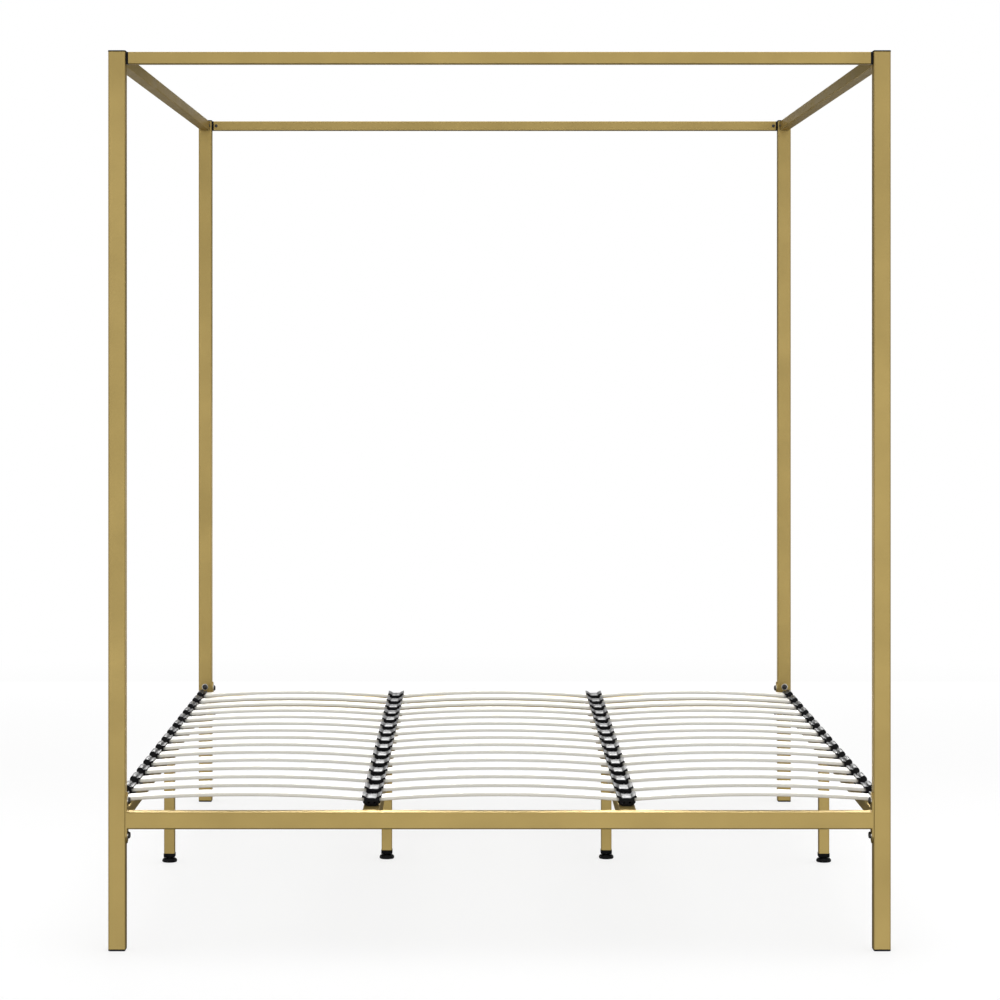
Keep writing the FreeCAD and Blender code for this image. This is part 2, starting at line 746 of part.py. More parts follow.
connector_group, canopy_bolt_group, canopy_insert_group, screw_group = canopy_fittings()
export("canopy_connectors", connector_group)
export("canopy_bolts", canopy_bolt_group)
export("canopy_threaded_inserts", canopy_insert_group)
export("canopy_locking_screws", screw_group)

cross_bolts, lock_nuts = centre_rail_fasteners()
export("centre_rail_cross_bolts", cross_bolts)
export("centre_rail_lock_nuts", lock_nuts)

for name, leg_x, leg_y, bottom, width in legs():
    export(name + "_leg", make_leg(leg_x, leg_y, bottom, width))
    export(name + "_leg_plug", make_leg_plug(leg_x, leg_y))
    export(name + "_foot_pad", make_foot_pad(leg_x, leg_y))
    export(name + "_foot_stem", make_foot_stem(leg_x, leg_y))
leg_bolt_group, leg_insert_group = leg_fasteners()
export("leg_bolts", leg_bolt_group)
export("leg_threaded_inserts", leg_insert_group)

slat = make_slat(slat_width, slat_thickness, slat_length, slat_corner)
for name, start_x in bays():
    raised = moved(slat, 0, 0, slat_end_z)
    export(name + "_slats", in_rows(raised, start_x))

side_holder = make_side_holder()
centre_holder = make_centre_holder()
export("left_side_slat_holders", in_rows(side_holder, -post_x))
export("right_side_slat_holders", in_rows(side_holder, post_x, 180))
export("left_centre_slat_holders", in_rows(centre_holder, -centre_rail_x))
export("right_centre_slat_holders", in_rows(centre_holder, centre_rail_x))
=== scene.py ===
import json
import math
import random

import bmesh
import bpy
from mathutils import Matrix, Vector


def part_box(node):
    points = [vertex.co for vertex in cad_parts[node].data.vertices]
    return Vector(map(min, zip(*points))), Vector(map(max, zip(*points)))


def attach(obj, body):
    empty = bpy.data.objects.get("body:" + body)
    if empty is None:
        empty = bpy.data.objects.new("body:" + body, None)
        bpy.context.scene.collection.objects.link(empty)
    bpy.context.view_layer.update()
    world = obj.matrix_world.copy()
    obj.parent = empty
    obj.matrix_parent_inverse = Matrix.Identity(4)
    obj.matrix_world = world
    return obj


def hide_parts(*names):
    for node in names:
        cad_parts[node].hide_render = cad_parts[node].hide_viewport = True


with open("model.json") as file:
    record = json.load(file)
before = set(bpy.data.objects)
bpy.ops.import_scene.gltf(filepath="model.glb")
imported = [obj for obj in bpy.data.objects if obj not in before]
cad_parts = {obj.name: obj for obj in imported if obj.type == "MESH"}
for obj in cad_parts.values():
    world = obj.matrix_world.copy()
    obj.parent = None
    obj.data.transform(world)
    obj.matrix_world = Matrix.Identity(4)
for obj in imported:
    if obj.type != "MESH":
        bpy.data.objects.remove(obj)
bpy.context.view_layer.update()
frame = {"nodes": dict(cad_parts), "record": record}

# Four poster canopy bed. Metres. X runs across the bed, Y from the foot end (-) to the
# head end (+), Z up. Places come from the CAD nodes; the values below are details that
# the CAD model leaves plain.
MM = 0.001
SLAT_ROWS = 15
SLAT_WIDTH = 53 * MM
SLAT_THICKNESS = 8 * MM
SLAT_CORNER = 9 * MM            # corner radius seen from above
SLAT_EDGE = 2.2 * MM            # round along the slat's long edges
SLAT_END_EDGE = 1.2 * MM
SLAT_LAYERS = 5                 # veneers bonded into a slat
HOLDER_DEPTH = 64 * MM
HOLDER_EDGE = 0.7 * MM
POCKET_GAP = 0.15 * MM          # clearance round a slat in its pocket
CHEEK_WIDTH = 4 * MM            # holder wall beside a slat's end
CHEEK_REACH = 20 * MM           # length of the opening past a cheek
SHOULDER = (-4.9, 23.2, 7.4)    # a side holder's round shoulder in mm: x, z and radius
POST_SIZE = 35 * MM             # square tube of the posts and the end rails
SLIM_SIZE = 25 * MM             # square tube of the canopy, the side rails and the legs
PLUG_INSET = 1.3 * MM           # tube wall and clearance, outside a plug
CAP_SKIRT = 6 * MM
SPACER = 5.5 * MM               # flange between a post and a canopy tube
CONNECTOR = 40 * MM             # length of the plug inside a canopy tube
COLLAR = 9 * MM                 # height of the collar under a leg
PLATE_THICKNESS = 3 * MM
BEAD_RADIUS = 1.3 * MM
BEAD_SPACING = 1.6 * MM         # between the ripples of a weld bead
STEM_PITCH = 1.25 * MM
THREAD_DEPTH = 0.6 * MM
FLOOR_DROP = 0.5 * MM           # keeps the floor clear of the soles

ends = [("foot_left", -1, -1), ("foot_right", 1, -1), ("head_left", -1, 1), ("head_right", 1, 1)]
leg_names = ["left_side", "left_centre", "right_centre", "right_side"]
bays = ["left", "centre", "right"]


def middle(node):
    """The middle of a CAD node's box."""
    low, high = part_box(node)
    return (low + high) / 2


rail_z = middle("left_centre_rail").z       # middle of every lower rail's tube


# ---- materials -------------------------------------------------------------------------

class Finish:
    """A node material under construction, with short calls for the nodes it uses."""

    def __init__(self, name):
        self.material = bpy.data.materials.new(name)
        self.material.use_nodes = True
        self.tree = self.material.node_tree
        self.shader = self.tree.nodes["Principled BSDF"]
        place = self.tree.nodes.new("ShaderNodeTexCoord")
        self.place = place.outputs["Object"]

    def set(self, **values):
        for key, value in values.items():
            self.shader.inputs[key.replace("_", " ")].default_value = value

    def link(self, a, b):
        self.tree.links.new(a, b)

    def stretched(self, vector, scale):
        """A vector scaled along each axis."""
        node = self.tree.nodes.new("ShaderNodeMapping")
        node.inputs["Scale"].default_value = scale
        self.link(vector, node.inputs["Vector"])
        return node.outputs["Vector"]

    def noise(self, scale, detail=3.0, vector=None, roughness=0.5, distortion=0.0):
        node = self.tree.nodes.new("ShaderNodeTexNoise")
        node.inputs["Scale"].default_value = scale
        node.inputs["Detail"].default_value = detail
        node.inputs["Roughness"].default_value = roughness
        node.inputs["Distortion"].default_value = distortion
        self.link(vector or self.place, node.inputs["Vector"])
        return node.outputs["Fac"]

    def attribute(self, name, output="Vector"):
        node = self.tree.nodes.new("ShaderNodeAttribute")
        node.attribute_name = name
        return node.outputs[output]

    def to_range(self, value, low, high, new_low, new_high):
        node = self.tree.nodes.new("ShaderNodeMapRange")
        for key, number in zip(("From Min", "From Max", "To Min", "To Max"),
                               (low, high, new_low, new_high)):
            node.inputs[key].default_value = number
        self.link(value, node.inputs["Value"])
        return node.outputs["Result"]

    def blend(self, factor, a, b):
        """Mixes two colours, each a tuple or a socket."""
        node = self.tree.nodes.new("ShaderNodeMix")
        node.data_type = "RGBA"
        self.link(factor, node.inputs["Factor"])
        for key, colour in (("A", a), ("B", b)):
            socket = [s for s in node.inputs if s.name == key and s.type == "RGBA"][0]
            if isinstance(colour, tuple):
                socket.default_value = (*colour, 1.0)
            else:
                self.link(colour, socket)
        return [s for s in node.outputs if s.type == "RGBA"][0]

    def bump(self, height, strength, distance, normal=None):
        node = self.tree.nodes.new("ShaderNodeBump")
        node.inputs["Strength"].default_value = strength
        node.inputs["Distance"].default_value = distance
        self.link(height, node.inputs["Height"])
        if normal:
            self.link(normal, node.inputs["Normal"])
        return node.outputs["Normal"]

    def wear(self, colour=None, roughness=None, normal=None):
        """Joins the finished colour, roughness and bump to the shader."""
        for key, socket in (("Base Color", colour), ("Roughness", roughness), ("Normal", normal)):
            if socket:
                self.link(socket, self.shader.inputs[key])
        return self.material


def gold_coat():
    """Champagne-gold metallic powder coat: satin, with fine flake and slight orange peel."""
    f = Finish("gold_coat")
    f.set(Metallic=0.85, Coat_Weight=0.08, Coat_Roughness=0.25, Specular_Tint=(0.85, 0.75, 0.54, 1.0))
    cloud = f.noise(2.2, 3.0)
    flake = f.noise(2600.0, 1.0)
    tone = f.blend(f.to_range(cloud, 0.35, 0.65, 0.0, 1.0), (0.325, 0.236, 0.078), (0.36, 0.262, 0.090))
    colour = f.blend(f.to_range(flake, 0.55, 0.75, 0.0, 0.35), tone, (0.52, 0.41, 0.19))
    roughness = f.to_range(f.noise(9.0, 4.0), 0.3, 0.7, 0.36, 0.45)
    peel = f.bump(f.noise(420.0, 2.0), 0.04, 0.0003)
    normal = f.bump(flake, 0.04, 0.0002, peel)
    return f.wear(colour, roughness, normal)


def black_plastic():
    """Black moulded polypropylene with a fine spark-eroded grain and a soft gloss."""
    f = Finish("black_plastic")
    f.set(IOR=1.5, Specular_IOR_Level=0.06)
    cloud = f.noise(60.0, 4.0)
    colour = f.blend(f.to_range(cloud, 0.35, 0.7, 0.0, 1.0), (0.004, 0.004, 0.005), (0.009, 0.009, 0.010))
    roughness = f.to_range(f.noise(240.0, 3.0), 0.3, 0.7, 0.28, 0.38)
    normal = f.bump(f.noise(1500.0, 2.0), 0.10, 0.0002)
    return f.wear(colour, roughness, normal)


def birch():
    """Pale bonded birch, sealed: long grain on the faces and glue lines on the edges; the long edge faces
    also carry a painted highlight, made lighter to stand in for the front light on them.
    """
    f = Finish("birch_slat")
    f.set(Coat_Weight=0.25, Coat_Roughness=0.22)
    grain = f.attribute("grain")
    tone = f.attribute("tone", "Fac")
    streaks = f.noise(1.0, 5.0, f.stretched(grain, (9.0, 420.0, 900.0)), 0.62, 0.6)
    pores = f.noise(1.0, 2.0, f.stretched(grain, (160.0, 2600.0, 2600.0)))
    figure = f.noise(1.0, 2.0, f.stretched(grain, (3.0, 38.0, 20.0)), 0.5, 1.2)
    pale, warm, grey = (0.88, 0.865, 0.80), (0.80, 0.765, 0.66), (0.70, 0.685, 0.60)
    base = f.blend(f.to_range(figure, 0.38, 0.62, 0.0, 0.55), pale, warm)
    base = f.blend(f.to_range(tone, 0.0, 1.0, 0.0, 0.35), base, (0.90, 0.89, 0.84))
    base = f.blend(f.to_range(streaks, 0.52, 0.72, 0.0, 0.5), base, grey)
    base = f.blend(f.to_range(pores, 0.60, 0.74, 0.0, 0.35), base, (0.56, 0.50, 0.40))
    edge_glue_and_highlight_mask = f.attribute("edge", "Fac")
    # Painted highlight: the slat's long edge faces are painted lighter, standing in for the front light that
    # falls on them.
    base = f.blend(f.to_range(edge_glue_and_highlight_mask, 0.0, 1.0, 0.0, 0.4), base, (0.92, 0.90, 0.84))
    layers = f.attribute("layer", "Fac")
    wave = f.tree.nodes.new("ShaderNodeMath")
    wave.operation = "PINGPONG"
    wave.inputs[1].default_value = 0.5
    f.link(layers, wave.inputs[0])
    glue = f.to_range(wave.outputs[0], 0.06, 0.14, 0.36, 0.0)
    edge = f.tree.nodes.new("ShaderNodeMath")
    edge.operation = "MULTIPLY"
    f.link(glue, edge.inputs[0])
    f.link(edge_glue_and_highlight_mask, edge.inputs[1])
    colour = f.blend(edge.outputs[0], base, (0.34, 0.27, 0.17))
    roughness = f.to_range(streaks, 0.3, 0.7, 0.40, 0.55)
    normal = f.bump(pores, 0.12, 0.0003, f.bump(streaks, 0.15, 0.0004))
    return f.wear(colour, roughness, normal)


def black_steel():
    """Black-oxide steel of the frame bolts, with an oily unevenness."""
    f = Finish("black_steel")
    f.set(Metallic=0.9)
    cloud = f.noise(300.0, 4.0)
    colour = f.blend(f.to_range(cloud, 0.35, 0.7, 0.0, 1.0), (0.030, 0.030, 0.033), (0.075, 0.072, 0.070))
    roughness = f.to_range(f.noise(700.0, 2.0), 0.3, 0.7, 0.26, 0.42)
    return f.wear(colour, roughness, f.bump(f.noise(1800.0, 2.0), 0.10, 0.0002))


def zinc_steel():
    """Bright zinc plate with a faint yellow and blue passivation."""
    f = Finish("zinc_steel")
    f.set(Metallic=1.0)
    cloud = f.noise(180.0, 4.0, distortion=0.8)
    colour = f.blend(f.to_range(cloud, 0.35, 0.65, 0.0, 1.0), (0.60, 0.61, 0.64), (0.70, 0.67, 0.58))
    roughness = f.to_range(f.noise(500.0, 3.0), 0.3, 0.7, 0.22, 0.38)
    return f.wear(colour, roughness, f.bump(f.noise(1200.0, 2.0), 0.08, 0.0002))


materials = {"gold_coat": gold_coat(), "black_plastic": black_plastic(), "birch_slat": birch(),
             "black_steel": black_steel(), "zinc_steel": zinc_steel()}


# ---- mesh helpers ----------------------------------------------------------------------

SMOOTH_UP_TO = math.radians(34)


def add_piece(name, bm, slot, nodes=(), body="frame"):
    """Turns mesh code into a named piece that rides on a body and stands for CAD nodes."""
    mesh = bpy.data.meshes.new(name)
    bm.to_mesh(mesh)
    bm.free()
    mesh.shade_smooth()
    mesh.set_sharp_from_angle(angle=SMOOTH_UP_TO)
    mesh.materials.append(materials[slot])
    piece = bpy.data.objects.new(name, mesh)
    bpy.context.scene.collection.objects.link(piece)
    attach(piece, body)
    if nodes:
        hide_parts(*nodes)
    return piece


def join_rings(bm, rings, closed=False):
    """Skins a run of vertex rings with quads; closed joins the last ring to the first."""
    pairs = list(zip(rings, rings[1:]))
    if closed:
        pairs.append((rings[-1], rings[0]))
    for a, b in pairs:
        for i in range(len(a)):
            j = (i + 1) % len(a)
            bm.faces.new((a[i], a[j], b[j], b[i]))


def square_loft(bm, levels, place, corner_steps=6):
    """A closed form through rounded squares given as (height, half size, corner radius)."""
    rings = []
    for height, half, radius in levels:
        ring = []
        for quarter in range(4):
            for step in range(corner_steps + 1):
                angle = math.radians(90 * (quarter + step / corner_steps))
                centre_angle = math.radians(90 * quarter + 45)
                reach = (half - radius) * math.sqrt(2)
                x = reach * math.cos(centre_angle) + radius * math.cos(angle)
                y = reach * math.sin(centre_angle) + radius * math.sin(angle)
                ring.append(bm.verts.new(place @ Vector((x, y, height))))
        rings.append(ring)
    join_rings(bm, rings)
    bm.faces.new(list(reversed(rings[0])))
    bm.faces.new(rings[-1])


def arc(x, z, reach_x, reach_z, start, end, steps):
    """Points on an ellipse round (x, z), between two angles in degrees."""
    points = []
    for step in range(steps + 1):
        angle = math.radians(start + (end - start) * step / steps)
        points.append((x + reach_x * math.cos(angle), z + reach_z * math.sin(angle)))
    return points


def lathe(bm, profile, place, steps=64, flutes=0, flute_depth=0.0, flute_band=None):
    """A closed turned form from (radius, height) points, with flutes in a band of heights."""
    rings = []
    for radius, height in profile:
        ring = []
        for step in range(steps):
            angle = 2 * math.pi * step / steps
            r = radius
            if flutes and flute_band[0] < height < flute_band[1]:
                r -= flute_depth * (0.5 + 0.5 * math.cos(flutes * angle)) ** 2
            ring.append(bm.verts.new(place @ Vector((r * math.cos(angle), r * math.sin(angle), height))))
        rings.append(ring)
    join_rings(bm, rings)
    bm.faces.new(list(reversed(rings[0])))
    bm.faces.new(rings[-1])


def weld_bead(bm, points, radius, closed, chance):
    """A small rippled bead swept along points."""
    around = 8
    rings = []
    count = len(points)
    for i, point in enumerate(points):
        before = points[(i - 1) % count] if closed or i else point
        after = points[(i + 1) % count] if closed or i < count - 1 else point
        run = (after - before).normalized()
        side = run.orthogonal().normalized()
        if abs(run.z) < 0.9:
            side = run.cross(Vector((0, 0, 1))).normalized()
        lift = side.cross(run).normalized()
        thickness = radius * (1 + 0.16 * math.sin(i * 1.9) + chance.uniform(-0.06, 0.06))
        if not closed and i in (0, count - 1):
            thickness *= 0.35
        ring = []
        for step in range(around):
            angle = 2 * math.pi * step / around
            ring.append(bm.verts.new(point + thickness * (math.cos(angle) * side + math.sin(angle) * lift)))
        rings.append(ring)
    join_rings(bm, rings, closed)
    if not closed:
        bm.faces.new(list(reversed(rings[0])))
        bm.faces.new(rings[-1])
    bmesh.ops.recalc_face_normals(bm, faces=bm.faces)


def square_path(half, radius, place, spacing=BEAD_SPACING):
    """Evenly spaced points round a rounded square."""
    points = []
    straight = 2 * (half - radius)
    runs = max(2, round(straight / spacing))
    bends = max(3, round(radius * math.pi / 2 / spacing))
    for quarter in range(4):
        turn = Matrix.Rotation(math.radians(90 * quarter), 4, "Z")
        for step in range(runs):
            points.append(place @ turn @ Vector((half, -half + radius + straight * step / runs, 0)))
        for step in range(bends):
            angle = math.radians(90 * step / bends)
            corner = Vector((half - radius, half - radius, 0))
            points.append(place @ turn @ (corner + radius * Vector((math.cos(angle), math.sin(angle), 0))))
    return points


def straight_path(start, end, spacing=BEAD_SPACING):
    """Evenly spaced points from start to end."""
    steps = max(3, round((end - start).length / spacing))
    return [start.lerp(end, step / steps) for step in range(steps + 1)]


# ---- the CAD pieces that keep their shape ------------------------------------------------

for part in frame["record"]["subparts"]:
    node = frame["nodes"][part["node"]]
    node.data.materials.clear()
    node.data.materials.append(materials[part["material_slot"]])
    node.data.shade_smooth()
    node.data.set_sharp_from_angle(angle=SMOOTH_UP_TO)


# ---- slats -------------------------------------------------------------------------------

def row_ys(node):
    """The Y of every slat row, from the node's box."""
    low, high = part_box(node)
    depth = SLAT_WIDTH if node.endswith("slats") else HOLDER_DEPTH
    first = low.y + depth / 2
    pitch = (high.y - low.y - depth) / (SLAT_ROWS - 1)
    return [first + pitch * row for row in range(SLAT_ROWS)]


def slat_stations(length):
    """Distances from the slat's left end at which it is given a cross-section."""
    end = [0.0, 0.3 * MM, 0.7 * MM, SLAT_END_EDGE]
    steps = 8
    for step in range(1, steps + 1):
        reach = SLAT_CORNER * (1 - math.cos(math.pi / 2 * step / steps))
        if reach > SLAT_END_EDGE * 1.2:
            end.append(reach)
    spans = 44
    span = length - 2 * end[-1]
    inner = [end[-1] + span * step / spans for step in range(1, spans)]
    return end + inner + [length - reach for reach in reversed(end)]


def rounding(distance, radius):
    """How far a rounded edge falls back at a distance from the end."""
    if distance >= radius:
        return 0.0
    return radius - math.sqrt(max(0.0, radius ** 2 - (radius - distance) ** 2))


def section(half_width, half_height, radius):
    """Points round a rounded rectangle in (y, z), from the lower left, with four long rounds."""
    points = []
    radius = min(radius, half_height * 0.98, half_width * 0.98)
    for cy, cz, start in ((1, -1, -90), (1, 1, 0), (-1, 1, 90), (-1, -1, 180)):
        for step in range(5):
            angle = math.radians(start + 90 * step / 4)
            points.append((cy * (half_width - radius) + radius * math.cos(angle),
                           cz * (half_height - radius) + radius * math.sin(angle)))
    return points


def slat(bm, x0, y, z0, length, crown, grow=0.0, marks=None, shift=0.0, tone=0.5):
    """A bowed slat with round long edges; grow makes the space that holds it instead."""
    chord = length / 2
    radius = (chord ** 2 + crown ** 2) / (2 * crown)
    rings = []
    for distance in slat_stations(length):
        off = distance - chord
        rise = math.sqrt(radius ** 2 - off ** 2) - (radius - crown)
        slope = -off / math.sqrt(radius ** 2 - off ** 2)
        normal = Vector((-slope, 0, 1)).normalized()
        near = min(distance, length - distance)
        corner = 0.0 if grow else rounding(near, SLAT_CORNER)
        chamfer = 0.0 if grow else rounding(near, SLAT_END_EDGE)
        half_width = SLAT_WIDTH / 2 - corner + 2 * grow
        half_height = SLAT_THICKNESS / 2 - chamfer + grow
        centre = Vector((x0 + distance, y, z0 + rise + SLAT_THICKNESS / 2))
        ring = []
        for across, through in section(half_width, half_height, SLAT_EDGE):
            tilt = Vector((0, across, 0)) + normal * through
            tilt.x *= min(1.0, near / SLAT_CORNER)
            vert = bm.verts.new(centre + tilt)
            if marks:
                vert[marks["grain"]] = Vector((distance + shift, across + 7 * shift, through + shift))
                vert[marks["layer"]] = through / SLAT_THICKNESS * SLAT_LAYERS + 2 * SLAT_LAYERS
                vert[marks["tone"]] = tone
                vert[marks["edge"]] = 1.0 if abs(across) > half_width - 1.4 * SLAT_EDGE else 0.0
            ring.append(vert)
        rings.append(ring)
    join_rings(bm, rings)
    bm.faces.new(list(reversed(rings[0])))
    bm.faces.new(rings[-1])


def slat_shape():
    """Length and crown of a slat, from the left bay's box."""
    low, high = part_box("left_slats")
    return high.x - low.x, high.z - low.z - SLAT_THICKNESS


def make_slats():
    chance = random.Random(5)
    length, crown = slat_shape()
    for bay in bays:
        node = bay + "_slats"
        low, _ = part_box(node)
        bm = bmesh.new()
        marks = {"grain": bm.verts.layers.float_vector.new("grain"),
                 "layer": bm.verts.layers.float.new("layer"),
                 "tone": bm.verts.layers.float.new("tone"),
                 "edge": bm.verts.layers.float.new("edge")}
        for y in row_ys(node):
            slat(bm, low.x, y, low.z, length, crown, 0.0, marks, chance.uniform(0, 60), chance.random())
        bmesh.ops.recalc_face_normals(bm, faces=bm.faces)
        add_piece(bay + "_bay_bowed_slats", bm, "birch_slat", [node])


make_slats()


# ---- slat holders --------------------------------------------------------------------------

def moulded(outline, depth, edge):
    """A bar extruded along Y from (x, z) points, with all its edges rounded."""
    bm = bmesh.new()
    front = [bm.verts.new((x * MM, -depth / 2, z * MM)) for x, z in outline]
    back = [bm.verts.new((x * MM, depth / 2, z * MM)) for x, z in outline]
    bm.faces.new(front)
    bm.faces.new(list(reversed(back)))
    for i in range(len(front)):
        j = (i + 1) % len(front)
        bm.faces.new((front[j], front[i], back[i], back[j]))
    bmesh.ops.recalc_face_normals(bm, faces=bm.faces)
    if edge:
        bmesh.ops.bevel(bm, geom=list(bm.edges), offset=edge, segments=3, profile=0.5,
                        affect="EDGES", clamp_overlap=True)
    return bm


def temporary(bm, name):
    """A throw-away object made from mesh code."""
    mesh = bpy.data.meshes.new(name)
    bm.to_mesh(mesh)
    bm.free()
    thing = bpy.data.objects.new(name, mesh)
    bpy.context.scene.collection.objects.link(thing)
    return thing


def carved(body, cutters):
    """The mesh of a body after its cutters are taken away."""
    target = temporary(body, "holder_blank")
    helpers = []
    for bm in cutters:
        helper = temporary(bm, "holder_tool")
        helpers.append(helper)
        step = target.modifiers.new("cut", "BOOLEAN")
        step.operation = "DIFFERENCE"
        step.solver = "EXACT"
        step.object = helper
    bpy.context.view_layer.update()
    evaluated = target.evaluated_get(bpy.context.evaluated_depsgraph_get())
    mesh = bpy.data.meshes.new_from_object(evaluated)
    for thing in helpers + [target]:
        bpy.data.objects.remove(thing)
    return mesh


def repeated(mesh, places):
    """Mesh code that holds one copy of a mesh at each place."""
    bm = bmesh.new()
    for place in places:
        copy = bmesh.new()
        copy.from_mesh(mesh)
        bmesh.ops.transform(copy, matrix=place, verts=copy.verts)
        scratch = bpy.data.meshes.new("holder_copy")
        copy.to_mesh(scratch)
        copy.free()
        bm.from_mesh(scratch)
        bpy.data.meshes.remove(scratch)
    return bm


def pocket(x0, z0):
    """The space of one slat, its left end at x0, for cutting a pocket."""
    length, crown = slat_shape()
    bm = bmesh.new()
    slat(bm, x0 - POCKET_GAP, 0, z0, length + 2 * POCKET_GAP, crown, POCKET_GAP)
    bmesh.ops.recalc_face_normals(bm, faces=bm.faces)
    return bm


def cheek_opening(slat_end, z0, side):
    """The cutter for the opening past a holder's cheeks, in which a slat's edges show."""
    length, crown = slat_shape()
    rise = 4 * crown * CHEEK_REACH / length
    near = (slat_end + side * CHEEK_WIDTH) / MM
    far = near + side * CHEEK_REACH / MM
    low, high = (z0 - POCKET_GAP) / MM, (z0 + SLAT_THICKNESS + POCKET_GAP) / MM
    outline = [(near, low), (far, low + rise / MM), (far, high + rise / MM), (near, high)]
    return moulded(outline, HOLDER_DEPTH * 1.1, 0)


def channel(points):
    """The cutter for an open channel along a holder, from its outline in mm."""
    return moulded(points, HOLDER_DEPTH * 1.1, 0)


def centre_holder(rail_top, slat_z, slat_gap):
    """Double holder: low base, waist, two pairs of lips that open outwards, dish between."""
    half = [(8.0, 0.05), (14.0, 3.0), (16.6, 5.6), (18.4, 8.2), (18.4, 9.8), (20.6, 18.4),
            (20.6, 21.6), (19.6, 22.6), (16.2, 21.3), (12.4, 19.4), (9.4, 16.8)]
    outline = half + [(-x, z) for x, z in reversed(half)]
    body = moulded(outline, HOLDER_DEPTH, HOLDER_EDGE)
    length, _ = slat_shape()
    base = slat_z - rail_top
    cutters = [pocket(slat_gap, base), pocket(-slat_gap - length, base)]
    for side in (-1, 1):
        cutters.append(cheek_opening(side * slat_gap, base, side))
        cutters.append(channel([(side * 4.3, 5.6), (side * 8.3, 5.6), (side * 8.3, 9.4),
                                (side * 4.3, 9.4)]))
    return carved(body, cutters)


def side_holder(slat_x, slat_z, rail_top):
    """Single holder: raised round shoulder on the outer side, one pocket that opens inwards."""
    x, z, radius = SHOULDER
    shoulder = arc(x, z, radius, radius, 18, 180, 12)
    outline = [(-8.5, 0.05), (8.5, 0.05), (9.0, 6.0), (12.0, 13.0), (12.0, 14.8), (10.0, 23.6),
               (9.6, 26.4), (6.5, 26.6), (2.5, 25.6)] + shoulder + [(-12.0, 19.0), (-9.5, 12.0)]
    body = moulded(outline, HOLDER_DEPTH, HOLDER_EDGE)
    base = slat_z - rail_top
    cutters = [pocket(slat_x, base), cheek_opening(slat_x, base, 1),
               channel([(-5.0, 3.0), (4.0, 3.0), (4.0, 10.5), (-5.0, 10.5)])]
    return carved(body, cutters)


def make_holders():
    slat_low, slat_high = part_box("left_slats")
    rail_low, rail_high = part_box("left_centre_rail")
    rail_x = (rail_low.x + rail_high.x) / 2
    centre = centre_holder(rail_high.z, slat_low.z, rail_x - slat_high.x)
    side_x = middle("left_side_rail").x
    side_top = rail_z + SLIM_SIZE / 2
    side = side_holder(slat_low.x - side_x, slat_low.z, side_top)
    for name, sign in (("left", 1), ("right", -1)):
        node = name + "_centre_slat_holders"
        x = middle(node).x
        places = [Matrix.Translation((x, y, rail_high.z)) for y in row_ys(node)]
        add_piece(name + "_centre_moulded_holders", repeated(centre, places), "black_plastic", [node])
        node = name + "_side_slat_holders"
        turn = Matrix.Rotation(0 if sign > 0 else math.pi, 4, "Z")
        places = [Matrix.Translation((sign * side_x, y, side_top)) @ turn for y in row_ys(node)]
        add_piece(name + "_side_moulded_holders", repeated(side, places), "black_plastic", [node])


make_holders()


# ---- caps, glides, plugs and feet ------------------------------------------------------------

def upright(node, z):
    """A place on the upright line through a CAD node's middle."""
    point = middle(node)
    return Matrix.Translation((point.x, point.y, z))


def make_post_trim():
    """Caps with a crowned, rounded edge and glides with a rounded sole."""
    inside = POST_SIZE / 2 - PLUG_INSET
    for name, _, _ in ends:
        low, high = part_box(name + "_post_cap")
        half = (high.x - low.x) / 2
        plate = high.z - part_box(name + "_post")[1].z
        bm = bmesh.new()
        square_loft(bm, [(-CAP_SKIRT, inside - 1 * MM, 1 * MM),
                         (0.6 * MM - CAP_SKIRT, inside, 1.5 * MM),
                         (0, inside, 1.5 * MM), (0.02 * MM, half - 0.25 * MM, 3.2 * MM),
                         (0.3 * MM, half, 3.4 * MM), (plate - 1.1 * MM, half, 3.4 * MM),
                         (plate - 0.6 * MM, half - 0.2 * MM, 3.4 * MM),
                         (plate - 0.2 * MM, half - 0.8 * MM, 3.2 * MM),
                         (plate - 0.04 * MM, half - 2.2 * MM, 2.4 * MM),
                         (plate, half - 6 * MM, 1.5 * MM)],
                    upright(name + "_post_cap", high.z - plate))
        add_piece(name + "_moulded_cap", bm, "black_plastic", [name + "_post_cap"])
        low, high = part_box(name + "_post_glide")
        half = (high.x - low.x) / 2
        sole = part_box(name + "_post")[0].z
        bm = bmesh.new()
        square_loft(bm, [(0, half - 1.6 * MM, 2 * MM), (0.3 * MM, half - 0.7 * MM, 2.6 * MM),
                         (1.1 * MM, half - 0.05 * MM, 3 * MM), (sole - 0.3 * MM, half, 3 * MM),
                         (sole - 0.02 * MM, half - 0.25 * MM, 2.8 * MM), (sole, inside, 1.5 * MM),
                         (high.z, inside, 1.5 * MM)], upright(name + "_post_glide", 0))
        add_piece(name + "_moulded_glide", bm, "black_plastic", [name + "_post_glide"])


